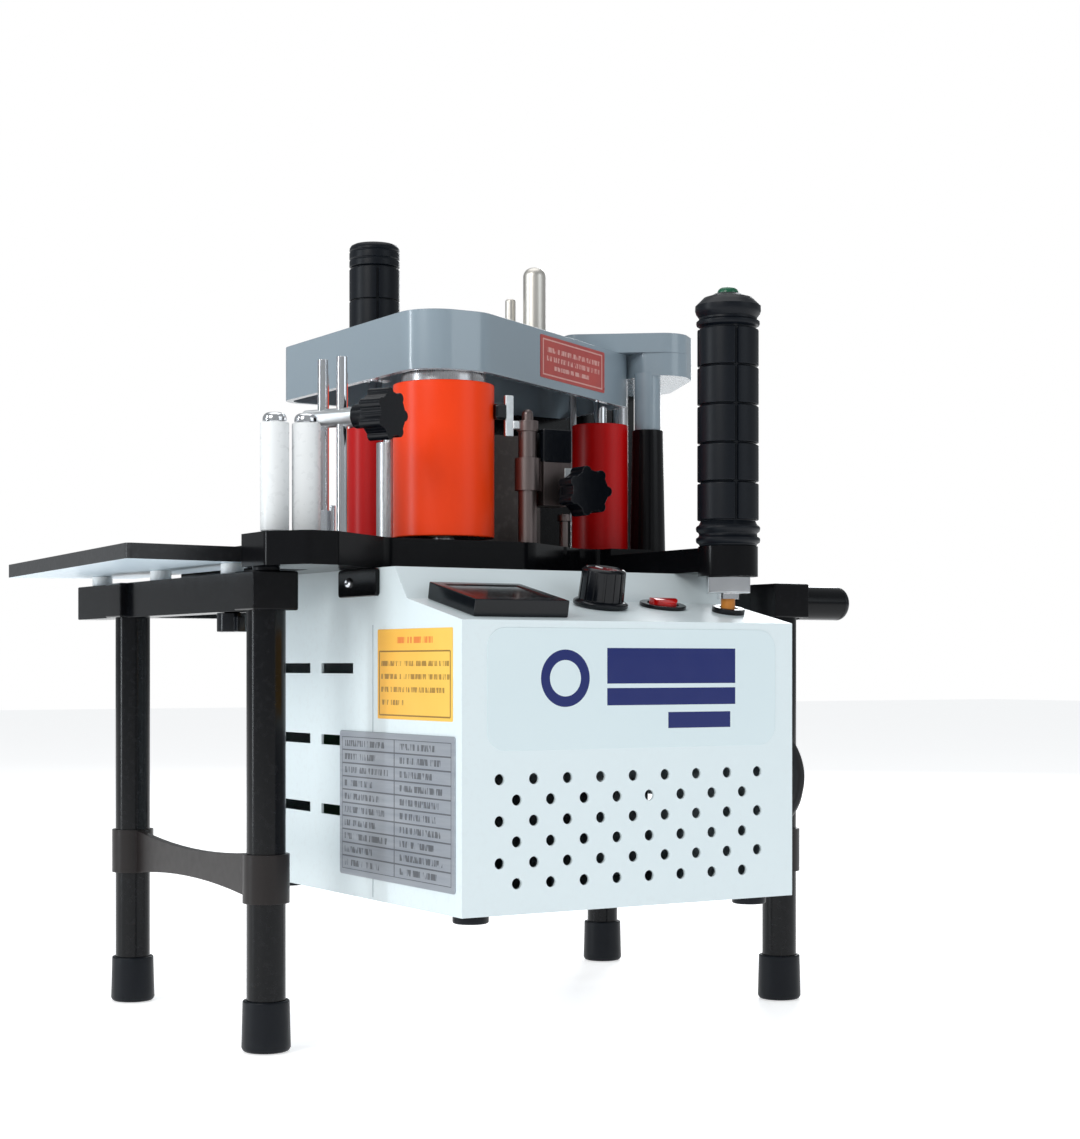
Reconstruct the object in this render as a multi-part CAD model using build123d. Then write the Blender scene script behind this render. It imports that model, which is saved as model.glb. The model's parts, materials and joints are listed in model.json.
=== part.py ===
from build123d import *
import math
import os

os.makedirs("parts", exist_ok=True)

# Portable edge banding machine on a four-legged stand, in millimetres.
# While modelling, X runs right along the housing's front, Y to the rear and Z up.
# X = 0, Y = 0 is the housing's front left corner and Z = 0 is the floor.

# ---- stand ----
LEG_R = 10.0
LEG_WALL = 1.6
BOX_W = 200.0
LEG_X = (-54.0, BOX_W + 75.0)
LEG_Y = (108.0, 300.0)
FOOT_R = 12.6
FOOT_TOP = 26.0
FOOT_FLOOR = 4.0
RAIL_W = 16.0
RAIL_H = 20.0
RAIL_WALL = 2.0
RAIL_END_Y = 372.0
SOCKET_R = 12.5
PAD_H = 2.5
WEB_MID_Z = 88.0
WEB_END_H = 25.0
WEB_NECK_H = 15.0
WEB_T = 4.0
WEB_COLLAR = 2.0
BAR_R = 10.0
BAR_WALL = 1.6
BAR_OUT = 47.0
PLUG_T = 5.0
CABLE_R = 3.5

# ---- base plate ----
PLATE_Z = 247.0
PLATE_T = 17.0
PLATE_TOP = PLATE_Z + PLATE_T
PLATE_RIGHT = LEG_X[1] + 17.0
RAIL_TOP = PLATE_Z - PAD_H
RAIL_Z = RAIL_TOP - RAIL_H
BOSS_R = 16.0
BOSS_TOP = PLATE_TOP - 4.0
BOSS_BOTTOM = PLATE_Z - 3.0
POST_SINK = PLATE_Z + 4.0

# ---- housing ----
BOX_D = 250.0
BOX_H = 172.0
BOX_Z = PLATE_Z - BOX_H
FRONT_TOP = PLATE_Z - 28.3
PANEL_Y = 56.5
PANEL_RISE = 11.7
RISER_Y = 70.0
SHEET = 1.5
BOX_FOOT_R = 9.0
BOX_FOOT_H = 5.0
HOLE_R = 2.75
HOLE_PITCH = 19.5
HOLE_ROW = 10.2
HOLE_X = 20.95
HOLE_TOP = BOX_Z + 66.1
HOLE_ROWS = 6
HOLES_IN_ROW = 9
SLOT_L = 39.0
SLOT_H = 5.5
SLOT_PITCH = 53.0
SLOT_Y = 117.5
SLOT_ROW_Z = (BOX_Z + 120.0, BOX_Z + 81.5, BOX_Z + 44.0)
SLOT_COUNT = 2
SPEC_PLATE_Y = (6.0, 132.0)
SPEC_PLATE_Z = (BOX_Z + 11.0, BOX_Z + 87.0)
SPEC_PLATE_T = 0.8

# ---- rollers ----
ROLLER_Z = PLATE_TOP + 2.6
MAIN_XY = (65.9, 138.6)
MAIN_R = 27.9
MAIN_TOP = ROLLER_Z + 84.4
COVER_Z = MAIN_TOP + 5.0
SLEEVE_T = 5.0
CORE_TOP = COVER_Z + 4.0
CORE_NECK_R = 23.4
SHAFT_R = 6.0
COLUMN_XY = (238.0, 192.0)
COLUMN_R = 9.5
PRESS_R = 17.2
PRESS_GAP = 2.5
PRESS_ANGLE = 150.45
PRESS_TOP = ROLLER_Z + 77.4
REAR_R = 16.75
POT_BOX = (66.0, 148.0, 171.0, 197.0)
POT_TOP = PLATE_TOP + 66.0
POT_WALL = 3.0
POT_GAP = 2.55
HEATER_R = 4.0
HEATER_Z = PLATE_TOP + 6.0
REAR_XY = (63.2, POT_BOX[3] + REAR_R + POT_GAP)
REAR_TOP = ROLLER_Z + 67.4
GLUE_R = 8.0
GLUE_TOP = ROLLER_Z + 55.4
AXLE_R = 4.0
RUN_FIT = 0.06
BUSH_WALL = 2.5
GUIDE_XY = ((-46.8, 113.5), (-30.8, 109.6))
GUIDE_R = 7.4
GUIDE_TOP = PLATE_TOP + 57.5
GUIDE_AXLE_R = 3.0
CAP_R = 6.2
CAP_H = 4.5
CAP_ROUND = 3.4

# ---- drive train under the plate ----
GEAR_MODULE = 1.25
MAIN_TEETH = 40
GLUE_TEETH = 24
PINION_TEETH = 16
GEAR_Z = PLATE_Z - 18.0
GEAR_T = 9.0
BACKLASH = 0.35
GLUE_ANGLE = 110.0
PINION_ANGLE = 12.0
MOTOR_R = 31.0
MOTOR_L = 92.0
GEARBOX_L = 34.0

# ---- guides ----
CLAMP_TURN = 29.0
CLAMP_DX = math.sin(math.radians(CLAMP_TURN))
CLAMP_DY = -math.cos(math.radians(CLAMP_TURN))
ROD_GAP = 12.1
ROD_A = (-13.5, 125.6)
ROD_B = (ROD_A[0] + ROD_GAP * CLAMP_DX, ROD_A[1] + ROD_GAP * CLAMP_DY)
ROD_MID = ((ROD_A[0] + ROD_B[0]) / 2, (ROD_A[1] + ROD_B[1]) / 2)
ROD_R = 3.0
ROD_TOP = (PLATE_TOP + 93.6, PLATE_TOP + 94.4)
PIN_R = 1.5
CLAMP_Z = PLATE_TOP + 62.6
CLAMP_R = 5.0
CLAMP_END = 8.7
CLAMP_TAIL = 10.8
STUD_R = 2.5
KNOB_R = 13.9
KNOB_T = 13.0
KNOB_HUB_R = 6.5
KNOB_HUB_L = 10.0
POST_XY = (108.0, 118.9)
POST_R = 5.2
POST_TOP = PLATE_TOP + 62.0
SIDE_XY = (124.0, 126.0)
SIDE_KNOB_X = 131.0
SIDE_KNOB_Z = PLATE_TOP + 28.3
SCREW_XY = (146.0, 142.0)
CLAMP_DOWN = 40.0

# ---- cover ----
COVER_TOP = COVER_Z + 32.3
COVER_WALL = 4.5
COVER_END_X = 231.0
GUARD_X = (108.0, 283.0)
GUARD_Y = 274.0
GUARD_T = 2.0
GUARD_FOOT = 14.0
GUARD_GAP = 1.0
BRIDGE_TOP = COVER_TOP + 11.7
BRIDGE_SKIRT = COVER_TOP - 14.3
COLUMN_NECK_Z = COVER_Z - 15.0
COLUMN_BOSS_R = 8.0

REAR_POST_XY = (95.0, 262.0)
TIE_RODS = (((256.0, 250.0), 5.1), ((214.8, 241.2), 2.2))
SPINDLE_XY = (174.8, 222.0)
SPINDLE_R = 6.9
SPINDLE_TOP = COVER_TOP + 51.7
LOCK_XY = (166.0, 236.0)
LOCK_R = 3.2
LOCK_TOP = COVER_TOP + 33.7

# ---- grips ----
GRIP_XY = (179.2, 28.8)
GRIP_R = 16.4
GRIP_LEN = 135.3
STEM_R = 6.0
NUT_R = 13.0
NUT_T = 9.0
BUTTON_R = 6.0
REAR_GRIP_XY = (130.0, 350.0)
REAR_POST_H = 71.7

# ---- panel controls ----
CTRL = (11.0, 7.0, 54.0, 49.0, 8.8)
SPEED_AT = (105.6, 41.0)
POT_NECK_R = 4.5
SPEED_R = 12.3
SPEED_SKIRT_R = 14.5
SPEED_SKIRT_H = 3.0
SPEED_H = 21.0
ROCKER_AT = (146.5, 43.0)
ROCKER_R = 11.0
GROMMET_R = 8.8

# ---- board ----
BOARD_Z = RAIL_TOP + 6.0
BOARD_T = 8.0
BOARD_POINTS = ((-120.0, 131.0), (-26.0, 141.0), (-26.0, 372.0), (-98.0, 400.0))
SPACER_R = 4.5
BOARD_KNOB_Y = 152.0
WING_R = 8.0
WING_H = 10.0

# ---- heater lead ----
CABLE_ROUTE = (
    (BOX_W, 60.0, BOX_Z + 29.0), (BOX_W + 26.0, 60.0, BOX_Z + 29.0), (BOX_W + 50.0, 63.0, BOX_Z + 39.0),
    (BOX_W + 63.0, 72.0, BOX_Z + 63.0), (BOX_W + 56.0, 88.0, BOX_Z + 91.0), (BOX_W + 38.0, 118.0, BOX_Z + 113.0),
    (BOX_W + 25.0, 147.0, BOX_Z + 133.0), (BOX_W + 22.0, 160.0, PLATE_Z - 19.0), (BOX_W + 22.0, 160.0, PLATE_Z),
)

PRESS_REACH = PRESS_R + COLUMN_R + PRESS_GAP
PRESS_XY = (
    COLUMN_XY[0] + PRESS_REACH * math.cos(math.radians(PRESS_ANGLE)),
    COLUMN_XY[1] + PRESS_REACH * math.sin(math.radians(PRESS_ANGLE)),
)
PANEL_SLOPE = math.degrees(math.atan2(PANEL_RISE, PANEL_Y))
GEAR_D = GEAR_MODULE / 2
GLUE_XY = (
    MAIN_XY[0] + GEAR_D * (MAIN_TEETH + GLUE_TEETH) * math.cos(math.radians(GLUE_ANGLE)),
    MAIN_XY[1] + GEAR_D * (MAIN_TEETH + GLUE_TEETH) * math.sin(math.radians(GLUE_ANGLE)),
)
PINION_XY = (
    MAIN_XY[0] + GEAR_D * (MAIN_TEETH + PINION_TEETH) * math.cos(math.radians(PINION_ANGLE)),
    MAIN_XY[1] + GEAR_D * (MAIN_TEETH + PINION_TEETH) * math.sin(math.radians(PINION_ANGLE)),
)
NODES = {}


def box(x0, x1, y0, y1, z0, z1):
    middle = Pos((x0 + x1) / 2, (y0 + y1) / 2, (z0 + z1) / 2)
    return middle * Box(x1 - x0, y1 - y0, z1 - z0)


def rod(xy, z0, z1, r):
    return Pos(xy[0], xy[1], (z0 + z1) / 2) * Cylinder(r, z1 - z0)


def rod_x(y, z, x0, x1, r):
    return Pos((x0 + x1) / 2, y, z) * Rot(0, 90, 0) * Cylinder(r, x1 - x0)


def rod_y(x, z, y0, y1, r):
    return Pos(x, (y0 + y1) / 2, z) * Rot(90, 0, 0) * Cylinder(r, y1 - y0)


def bore(xy, r, low=0.0):
    """A vertical cut from low upward, past everything."""
    return rod(xy, low, 2 * COVER_TOP, r)


def tube(xy, z0, z1, r_out, r_in):
    return rod(xy, z0, z1, r_out) - rod(xy, z0 - 1, z1 + 1, r_in)


def slab(points, radii, z0, z1):
    outline = FilletPolyline(*points, radius=radii, close=True)
    return extrude(Pos(0, 0, z0) * make_face(outline), amount=z1 - z0, dir=(0, 0, 1))


def side_slab(profile, x0, x1):
    """Extrudes a closed Y-Z profile along X."""
    face = make_face(Polyline(*[(x0, y, z) for y, z in profile], close=True))
    return extrude(face, amount=x1 - x0, dir=(1, 0, 0))


def turned(xy, profile):
    """Revolves radius-height pairs about a vertical axis."""
    face = make_face(Polyline(*[(r, 0, z) for r, z in profile], close=True))
    return Pos(xy[0], xy[1], 0) * revolve(face, Axis.Z)


def on_panel(x, y, shape):
    """Stands a shape, built upward from z = 0, square on the sloped panel."""
    return Pos(x, y, FRONT_TOP + PANEL_RISE * y / PANEL_Y) * Rot(PANEL_SLOPE, 0, 0) * shape


def involute(r_base, r, start, side):
    t = math.sqrt(max((r / r_base) ** 2 - 1, 0))
    angle = start + side * (t - math.atan(t))
    return r * math.cos(angle), r * math.sin(angle)


def gear(xy, teeth, phase, bore):
    """A spur gear with involute flanks and one tooth centred at the angle phase."""
    pitch_r = GEAR_D * teeth
    base_r = pitch_r * math.cos(math.radians(20))
    root_r = pitch_r - 1.25 * GEAR_MODULE
    tip_r = pitch_r + GEAR_MODULE
    low_r = max(root_r, base_r)
    t = math.tan(math.radians(20))
    half = (math.pi * GEAR_MODULE - BACKLASH) / 4 / pitch_r + t - math.radians(20)
    points = []
    for i in range(teeth):
        centre = math.radians(phase) + 2 * math.pi * i / teeth
        radii = [low_r + (tip_r - low_r) * k / 4 for k in range(5)]
        right = [involute(base_r, r, centre - half, 1) for r in radii]
        left = [involute(base_r, r, centre + half, -1) for r in reversed(radii)]
        if root_r < base_r:
            right.insert(0, (root_r * math.cos(centre - half), root_r * math.sin(centre - half)))
            left.append((root_r * math.cos(centre + half), root_r * math.sin(centre + half)))
        points += right + left
    face = make_face(Polyline(*points, close=True))
    body = extrude(face, amount=GEAR_T, dir=(0, 0, 1)) - Cylinder(bore, 3 * GEAR_T)
    return Pos(xy[0], xy[1], GEAR_Z) * body


def star_knob(lobes=7):
    """A lobed knob with its hub, turned to face -Y, its back at y = 0."""
    head = Cylinder(KNOB_R - 2.4, KNOB_T)
    for i in range(lobes):
        a = 2 * math.pi * i / lobes
        lobe = Cylinder(2.9, KNOB_T)
        head += Pos((KNOB_R - 2.9) * math.cos(a), (KNOB_R - 2.9) * math.sin(a), 0) * lobe
    for i in range(lobes):
        a = 2 * math.pi * (i + 0.5) / lobes
        head -= Pos(KNOB_R * math.cos(a), KNOB_R * math.sin(a), 0) * Cylinder(2.6, KNOB_T + 2)
    hub = Pos(0, 0, -KNOB_T / 2 - KNOB_HUB_L / 2) * Cylinder(KNOB_HUB_R, KNOB_HUB_L)
    return Rot(90, 0, 0) * Pos(0, 0, KNOB_HUB_L + KNOB_T / 2) * (head + hub)


def leg(x, y):
    return tube((x, y), FOOT_FLOOR, RAIL_Z, LEG_R, LEG_R - LEG_WALL)


def foot(x, y):
    cup = turned((x, y), [(0, 0), (FOOT_R - 1, 0), (FOOT_R, 2), (FOOT_R - 0.6, FOOT_TOP), (0, FOOT_TOP)])
    return cup - rod((x, y), FOOT_FLOOR, FOOT_TOP + 1, LEG_R)


def socket(x, y):
    """A cast block that caps a leg and joins it to the rail."""
    half = SOCKET_R
    return box(x - half, x + half, y - half, y + half, RAIL_Z, RAIL_TOP)


def web(x):
    """A flared side brace between a front and a rear leg, with a ring round each."""
    low, high = WEB_MID_Z - WEB_END_H / 2, WEB_MID_Z + WEB_END_H / 2
    y0, y1 = LEG_Y[0] + LEG_R, LEG_Y[1] - LEG_R
    lines = [Line((x, y, low), (x, y, high)) for y in (y0, y1)]
    for side, end in ((1, high), (-1, low)):
        neck = (x, (y0 + y1) / 2, WEB_MID_Z + side * WEB_NECK_H / 2)
        lines.append(ThreePointArc((x, y0, end), neck, (x, y1, end)))
    body = extrude(make_face(lines), amount=WEB_T / 2, both=True)
    for y in LEG_Y:
        body += rod((x, y), low, high, LEG_R + WEB_COLLAR)
    for y in LEG_Y:
        body -= rod((x, y), 0, RAIL_Z, LEG_R)
    return body


def hollow_bar(x0, x1, y0, y1, along):
    """A rectangular tube with its bore along the axis numbered 0 or 1."""
    w = RAIL_WALL
    end, side = (-1, w) if along == 0 else (w, -1)
    inner = box(x0 + end, x1 - end, y0 + side, y1 - side, RAIL_Z + w, RAIL_TOP - w)
    return box(x0, x1, y0, y1, RAIL_Z, RAIL_TOP) - inner


def make_stand():
    spots = [(x, y) for y in LEG_Y for x in LEG_X]
    NODES["legs"] = Compound([leg(*s) for s in spots])
    NODES["leg_feet"] = Compound([foot(*s) for s in spots])
    bar_y, bar_z = LEG_Y[0], RAIL_Z + RAIL_H / 2 - 1
    bar_x = LEG_X[1] + SOCKET_R
    blocks = [socket(*s) for s in spots]
    blocks[1] = blocks[1] - rod_x(bar_y, bar_z, bar_x - 14, bar_x + 1, LEG_R - LEG_WALL - 1)
    NODES["leg_sockets"] = Compound(blocks)
    stub = rod_x(bar_y, bar_z, bar_x - 14, bar_x + 5, BAR_R - BAR_WALL - 1)
    shell = rod_x(bar_y, bar_z, bar_x, LEG_X[1] + BAR_OUT - PLUG_T, BAR_R)
    shell -= rod_x(bar_y, bar_z, bar_x + 5, LEG_X[1] + BAR_OUT, BAR_R - BAR_WALL)
    side_bar = shell + stub
    tip_x = LEG_X[1] + BAR_OUT
    cap = fillet(rod_x(bar_y, bar_z, tip_x - PLUG_T, tip_x, BAR_R).edges().sort_by(Axis.X)[-1], 4)
    plugs = [cap + rod_x(bar_y, bar_z, tip_x - PLUG_T - 9, tip_x - 4, BAR_R - BAR_WALL)]
    half = RAIL_W / 2
    NODES["side_webs"] = Compound([web(x) for x in LEG_X])
    spans = ((LEG_Y[0] + SOCKET_R, LEG_Y[1] - SOCKET_R), (LEG_Y[1] + SOCKET_R, RAIL_END_Y))
    rails = [hollow_bar(x - half, x + half, *span, 1) for x in LEG_X for span in spans]
    rails[0] = rails[0] - bore((LEG_X[0], BOARD_KNOB_Y), AXLE_R + 0.05)
    x0, x1 = LEG_X[0] + SOCKET_R, LEG_X[1] - SOCKET_R
    rails.append(hollow_bar(x0, x1, LEG_Y[1] - half, LEG_Y[1] + half, 0))
    NODES["stand_rails"] = Compound(rails + [side_bar])
    plug_w = half - RAIL_WALL
    for x in LEG_X:
        face = box(x - half, x + half, RAIL_END_Y, RAIL_END_Y + 2, RAIL_Z, RAIL_TOP)
        z0, z1 = RAIL_Z + RAIL_WALL, RAIL_TOP - RAIL_WALL
        plugs.append(face + box(x - plug_w, x + plug_w, RAIL_END_Y - 8, RAIL_END_Y, z0, z1))
    NODES["end_plugs"] = Compound(plugs)
    pads = [(LEG_X[0], LEG_Y[0]), (LEG_X[1], 230), (LEG_X[1], LEG_Y[1]), (20, LEG_Y[1])]
    NODES["plate_pads"] = Compound([rod(p, RAIL_TOP, PLATE_Z, half - 1) for p in pads])


def make_board():
    rail_x = LEG_X[0]
    flat = slab(BOARD_POINTS, [3, 3, 3, 3], BOARD_Z, BOARD_Z + BOARD_T)
    NODES["support_board"] = flat - rod((rail_x, BOARD_KNOB_Y), 0, BOARD_Z + 5, AXLE_R + 0.05)
    spots = [(rail_x, BOARD_KNOB_Y), (rail_x, LEG_Y[1] - 45), (rail_x, RAIL_END_Y - 20)]
    spacers = [rod(s, RAIL_TOP, BOARD_Z, SPACER_R + 1.5) for s in spots]
    spacers[0] = spacers[0] - bore(spots[0], AXLE_R + 0.05)
    NODES["board_spacers"] = Compound(spacers)
    top = RAIL_Z - 0.3
    wing = rod(spots[0], top - WING_H, top, WING_R)
    wing += box(rail_x - 2.2, rail_x + 2.2, BOARD_KNOB_Y - 12.5, BOARD_KNOB_Y + 12.5, top - WING_H, top - 2)
    NODES["board_knob"] = wing + rod(spots[0], top - 1, BOARD_Z + 4, AXLE_R)


def housing_profile(inset):
    """The housing's side outline; an inset one runs out through the bottom and back."""
    low = BOX_Z - (20 if inset else 0)
    back = BOX_D + (20 if inset else 0)
    return [
        (inset, low), (inset, FRONT_TOP - inset), (PANEL_Y + inset, FRONT_TOP + PANEL_RISE - inset),
        (RISER_Y + inset, PLATE_Z - inset), (back, PLATE_Z - inset), (back, low),
    ]


def housing_shell():
    body = side_slab(housing_profile(0), 0, BOX_W)
    body -= side_slab(housing_profile(SHEET), SHEET, BOX_W - SHEET)
    cuts = []
    for row in range(HOLE_ROWS):
        start = HOLE_X + HOLE_PITCH / 2 * (row % 2)
        z = HOLE_TOP - HOLE_ROW * row
        for i in range(HOLES_IN_ROW - row % 2):
            cuts.append(rod_y(start + HOLE_PITCH * i, z, -1, SHEET + 1, HOLE_R))
    for z in SLOT_ROW_Z:
        for i in range(SLOT_COUNT):
            y = SLOT_Y + SLOT_PITCH * i
            for x in (0, BOX_W):
                cuts.append(box(x - 2, x + 2, y, y + SLOT_L, z - SLOT_H / 2, z + SLOT_H / 2))
    cuts.append(box(22, 124, MAIN_XY[1] - 22, BOX_D - 14, PLATE_Z - 3, PLATE_Z + 1))
    x, y, w, d, _ = CTRL
    cuts.append(on_panel(x + w / 2, y + d / 2, Box(w - 8, d - 8, 8)))
    cuts.append(on_panel(*SPEED_AT, Cylinder(POT_NECK_R, 8)))
    cuts.append(on_panel(*ROCKER_AT, Cylinder(ROCKER_R - 1, 8)))
    cuts.append(on_panel(*GRIP_XY, Cylinder(GROMMET_R - 2, 8)))
    cuts.append(rod_x(CABLE_ROUTE[0][1], CABLE_ROUTE[0][2], BOX_W - 4, BOX_W + 4, CABLE_R + 1.5))
    return body - cuts


def make_housing(glands):
    NODES["housing_shell"] = housing_shell()
    s, low = SHEET, BOX_Z
    NODES["housing_floor"] = box(s, BOX_W - s, s, BOX_D - s, low, low + s)
    back = box(s, BOX_W - s, BOX_D - s, BOX_D, low, PLATE_Z - s)
    NODES["housing_back"] = back
    spots = [(x, y) for x in (15, BOX_W - 15) for y in (18, BOX_D - 18)]
    feet = [rod(p, low - BOX_FOOT_H, low, BOX_FOOT_R) for p in spots]
    NODES["housing_feet"] = Compound(feet)
    NODES["spec_plate"] = box(-SPEC_PLATE_T, 0, *SPEC_PLATE_Y, *SPEC_PLATE_Z)
    x, y, w, d, h = CTRL
    case = Pos(0, 0, h / 2) * Box(w, d, h) + Pos(0, 0, -22) * Box(w - 9, d - 9, 44)
    window = Pos(0, 1, h) * Box(w - 12, d - 14, 3)
    NODES["temperature_controller"] = on_panel(x + w / 2, y + d / 2, case - window)
    NODES["controller_window"] = on_panel(x + w / 2, y + d / 2, Pos(0, 1, h - 1) * Box(w - 12, d - 14, 1))
    pot = Pos(0, 0, -SHEET - 8.5) * Cylinder(11, 16) + Pos(0, 0, -1.5) * Cylinder(POT_NECK_R, 5)
    pot -= Cylinder(AXLE_R - 1 + RUN_FIT, 60)
    NODES["speed_control"] = on_panel(*SPEED_AT, pot)
    knob = Pos(0, 0, 1.4 + SPEED_SKIRT_H / 2) * Cylinder(SPEED_SKIRT_R, SPEED_SKIRT_H)
    knob += Pos(0, 0, SPEED_H / 2 + 1.4) * Cylinder(SPEED_R, SPEED_H)
    knob += Pos(0, 0, -4) * Cylinder(AXLE_R - 1, 12)
    NODES["speed_knob"] = on_panel(*SPEED_AT, knob)
    ring = Pos(0, 0, 1) * Cylinder(ROCKER_R + 1.5, 2) + Pos(0, 0, -8) * Cylinder(ROCKER_R - 1, 16)
    well = Pos(0, 0, -2) * Cylinder(ROCKER_R - 2.5, 12)
    NODES["switch_body"] = on_panel(*ROCKER_AT, ring - well)
    rocker = Pos(0, 0, 1) * Cylinder(ROCKER_R - 3.4, 8)
    rocker &= Pos(0, 0, -9.5) * Rot(0, 90, 0) * Cylinder(14.5, 30)
    NODES["power_rocker"] = on_panel(*ROCKER_AT, rocker)
    ring = Pos(0, 0, 1.5) * Cylinder(GROMMET_R, 3) + Pos(0, 0, -2) * Cylinder(GROMMET_R - 2, 6)
    glands.append(on_panel(*GRIP_XY, ring - Cylinder(STEM_R - 1, 30)))
    NODES["control_board"] = box(12, 60, 180, 182, low + 14, low + 94)
    NODES["power_supply"] = box(150, 190, 120, 220, low + s, low + 56)


def make_drive():
    """The motor hangs below the plate and turns both driven rollers through spur gears."""
    NODES["main_gear"] = gear(MAIN_XY, MAIN_TEETH, GLUE_ANGLE, SHAFT_R)
    NODES["glue_gear"] = gear(GLUE_XY, GLUE_TEETH, GLUE_ANGLE + 180 + 180 / GLUE_TEETH, AXLE_R)
    turn = (PINION_ANGLE - GLUE_ANGLE) * MAIN_TEETH / PINION_TEETH
    phase = PINION_ANGLE + 180 + 180 / PINION_TEETH + turn
    pinion = gear(PINION_XY, PINION_TEETH, phase, AXLE_R)
    pinion += rod(PINION_XY, GEAR_Z - 14, GEAR_Z + GEAR_T, AXLE_R)
    NODES["motor_pinion"] = pinion
    top = GEAR_Z - 3
    x, y = PINION_XY
    case = rod((x, y + 14), top - GEARBOX_L, top, MOTOR_R) - rod(PINION_XY, top - 15, top + 1, AXLE_R + RUN_FIT)
    y1 = y + 14 + MOTOR_R
    case += box(x - MOTOR_R, x + MOTOR_R - 12, y1 - 4, y1 + 2, top - GEARBOX_L, PLATE_Z)
    NODES["gearbox"] = case
    low = top - GEARBOX_L - MOTOR_L
    NODES["drive_motor"] = rod((x, y + 14), low, top - GEARBOX_L, MOTOR_R - 3)


def base_plate():
    outline = [
        (-62, 124), (-62, 92), (-48, 71), (-31, 72), (16, 107), (104, 107), (158, 145), (174, 147),
        (172, 29), (190, 29), (203, 146), (240, 146), (PLATE_RIGHT, 190), (PLATE_RIGHT, 318), (148, 318), (147, 368),
        (113, 368), (112, 318), (-20, 318), (-20, 128),
    ]
    radii = [4, 6, 6, 8, 24, 20, 6, 4, 0, 0, 6, 14, 20, 10, 10, 12, 12, 10, 10, 4]
    body = slab(outline, radii, PLATE_Z, PLATE_TOP)
    body -= box(140, 215, -10, 135, BOSS_TOP, PLATE_TOP + 5)
    body += rod(GRIP_XY, BOSS_BOTTOM, BOSS_TOP, BOSS_R)
    holes = [
        bore(MAIN_XY, SHAFT_R + BUSH_WALL), bore(GLUE_XY, AXLE_R + BUSH_WALL),
        bore(PRESS_XY, AXLE_R, POST_SINK), bore(REAR_XY, AXLE_R, POST_SINK),
        bore(GRIP_XY, STEM_R), bore(REAR_GRIP_XY, STEM_R),
        bore(COLUMN_XY, AXLE_R, POST_SINK), bore(REAR_POST_XY, AXLE_R, POST_SINK),
        bore(SCREW_XY, 2.5 + RUN_FIT, POST_SINK),
    ]
    holes += [bore(xy, GUIDE_AXLE_R, POST_SINK) for xy in GUIDE_XY]
    holes += [bore(xy, ROD_R, POST_SINK) for xy in (ROD_A, ROD_B)]
    holes += [bore(xy, r, POST_SINK) for xy, r in TIE_RODS]
    holes.append(bore(POST_XY, POST_R - 1, POST_SINK))
    holes.append(bore(ROD_MID, PIN_R, POST_SINK))
    return body - holes


def make_rollers():
    NODES["base_plate"] = base_plate()
    low = PLATE_Z - 3
    core = rod(MAIN_XY, ROLLER_Z, MAIN_TOP, MAIN_R - SLEEVE_T)
    core += rod(MAIN_XY, GEAR_Z - 3, COVER_TOP - 8, SHAFT_R)
    core += rod(MAIN_XY, MAIN_TOP, CORE_TOP, CORE_NECK_R)
    NODES["main_roller_core"] = core
    NODES["main_roller_sleeve"] = tube(MAIN_XY, ROLLER_Z, MAIN_TOP, MAIN_R, MAIN_R - SLEEVE_T)
    shaft = rod(GLUE_XY, GEAR_Z - 3, GLUE_TOP + 12, AXLE_R)
    NODES["glue_roller"] = rod(GLUE_XY, ROLLER_Z, GLUE_TOP, GLUE_R) + shaft
    main_bush = tube(MAIN_XY, low, ROLLER_Z - 1, SHAFT_R + BUSH_WALL, SHAFT_R + RUN_FIT)
    glue_bush = tube(GLUE_XY, low, ROLLER_Z - 1, AXLE_R + BUSH_WALL, AXLE_R + RUN_FIT)
    NODES["shaft_bushes"] = Compound([main_bush, glue_bush])
    NODES["press_roller"] = tube(PRESS_XY, ROLLER_Z, PRESS_TOP, PRESS_R, AXLE_R + RUN_FIT)
    NODES["rear_roller"] = tube(REAR_XY, ROLLER_Z, REAR_TOP, REAR_R, AXLE_R + RUN_FIT)
    axles = [rod(PRESS_XY, POST_SINK, COVER_TOP - 8, AXLE_R), rod(REAR_XY, POST_SINK, COVER_TOP - 8, AXLE_R)]
    x0, x1, y0, y1 = POT_BOX
    w, mid_y = POT_WALL, (y0 + y1) / 2
    pot = box(*POT_BOX, PLATE_TOP, POT_TOP)
    pot -= box(x0 + w, x1 - w, y0 + w, y1 - w, HEATER_Z + HEATER_R + 2, POT_TOP + 1)
    NODES["glue_pot"] = pot - rod_x(mid_y, HEATER_Z, x0 + 8, x1 + 1, HEATER_R)
    NODES["glue_heater"] = rod_x(mid_y, HEATER_Z, x0 + 8, x1 + 3, HEATER_R)
    for side, xy in zip(("left", "right"), GUIDE_XY):
        NODES["guide_roller_" + side] = tube(xy, PLATE_TOP + 1.4, GUIDE_TOP, GUIDE_R, GUIDE_AXLE_R + RUN_FIT)
    for xy in GUIDE_XY:
        pin = rod(xy, POST_SINK, GUIDE_TOP + 1, GUIDE_AXLE_R) + rod(xy, PLATE_TOP, PLATE_TOP + 1, CAP_R)
        dome = rod(xy, GUIDE_TOP + 0.6, GUIDE_TOP + 0.6 + CAP_H, CAP_R)
        axles.append(pin + fillet(dome.edges().sort_by(Axis.Z)[-1], CAP_ROUND))
    NODES["idler_axles"] = Compound(axles)


def on_clamp(shape):
    """Turns a shape, built along -Y from the first rod, into the clamp's direction and height."""
    return Pos(*ROD_A, CLAMP_Z) * Rot(0, 0, CLAMP_TURN) * shape


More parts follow.
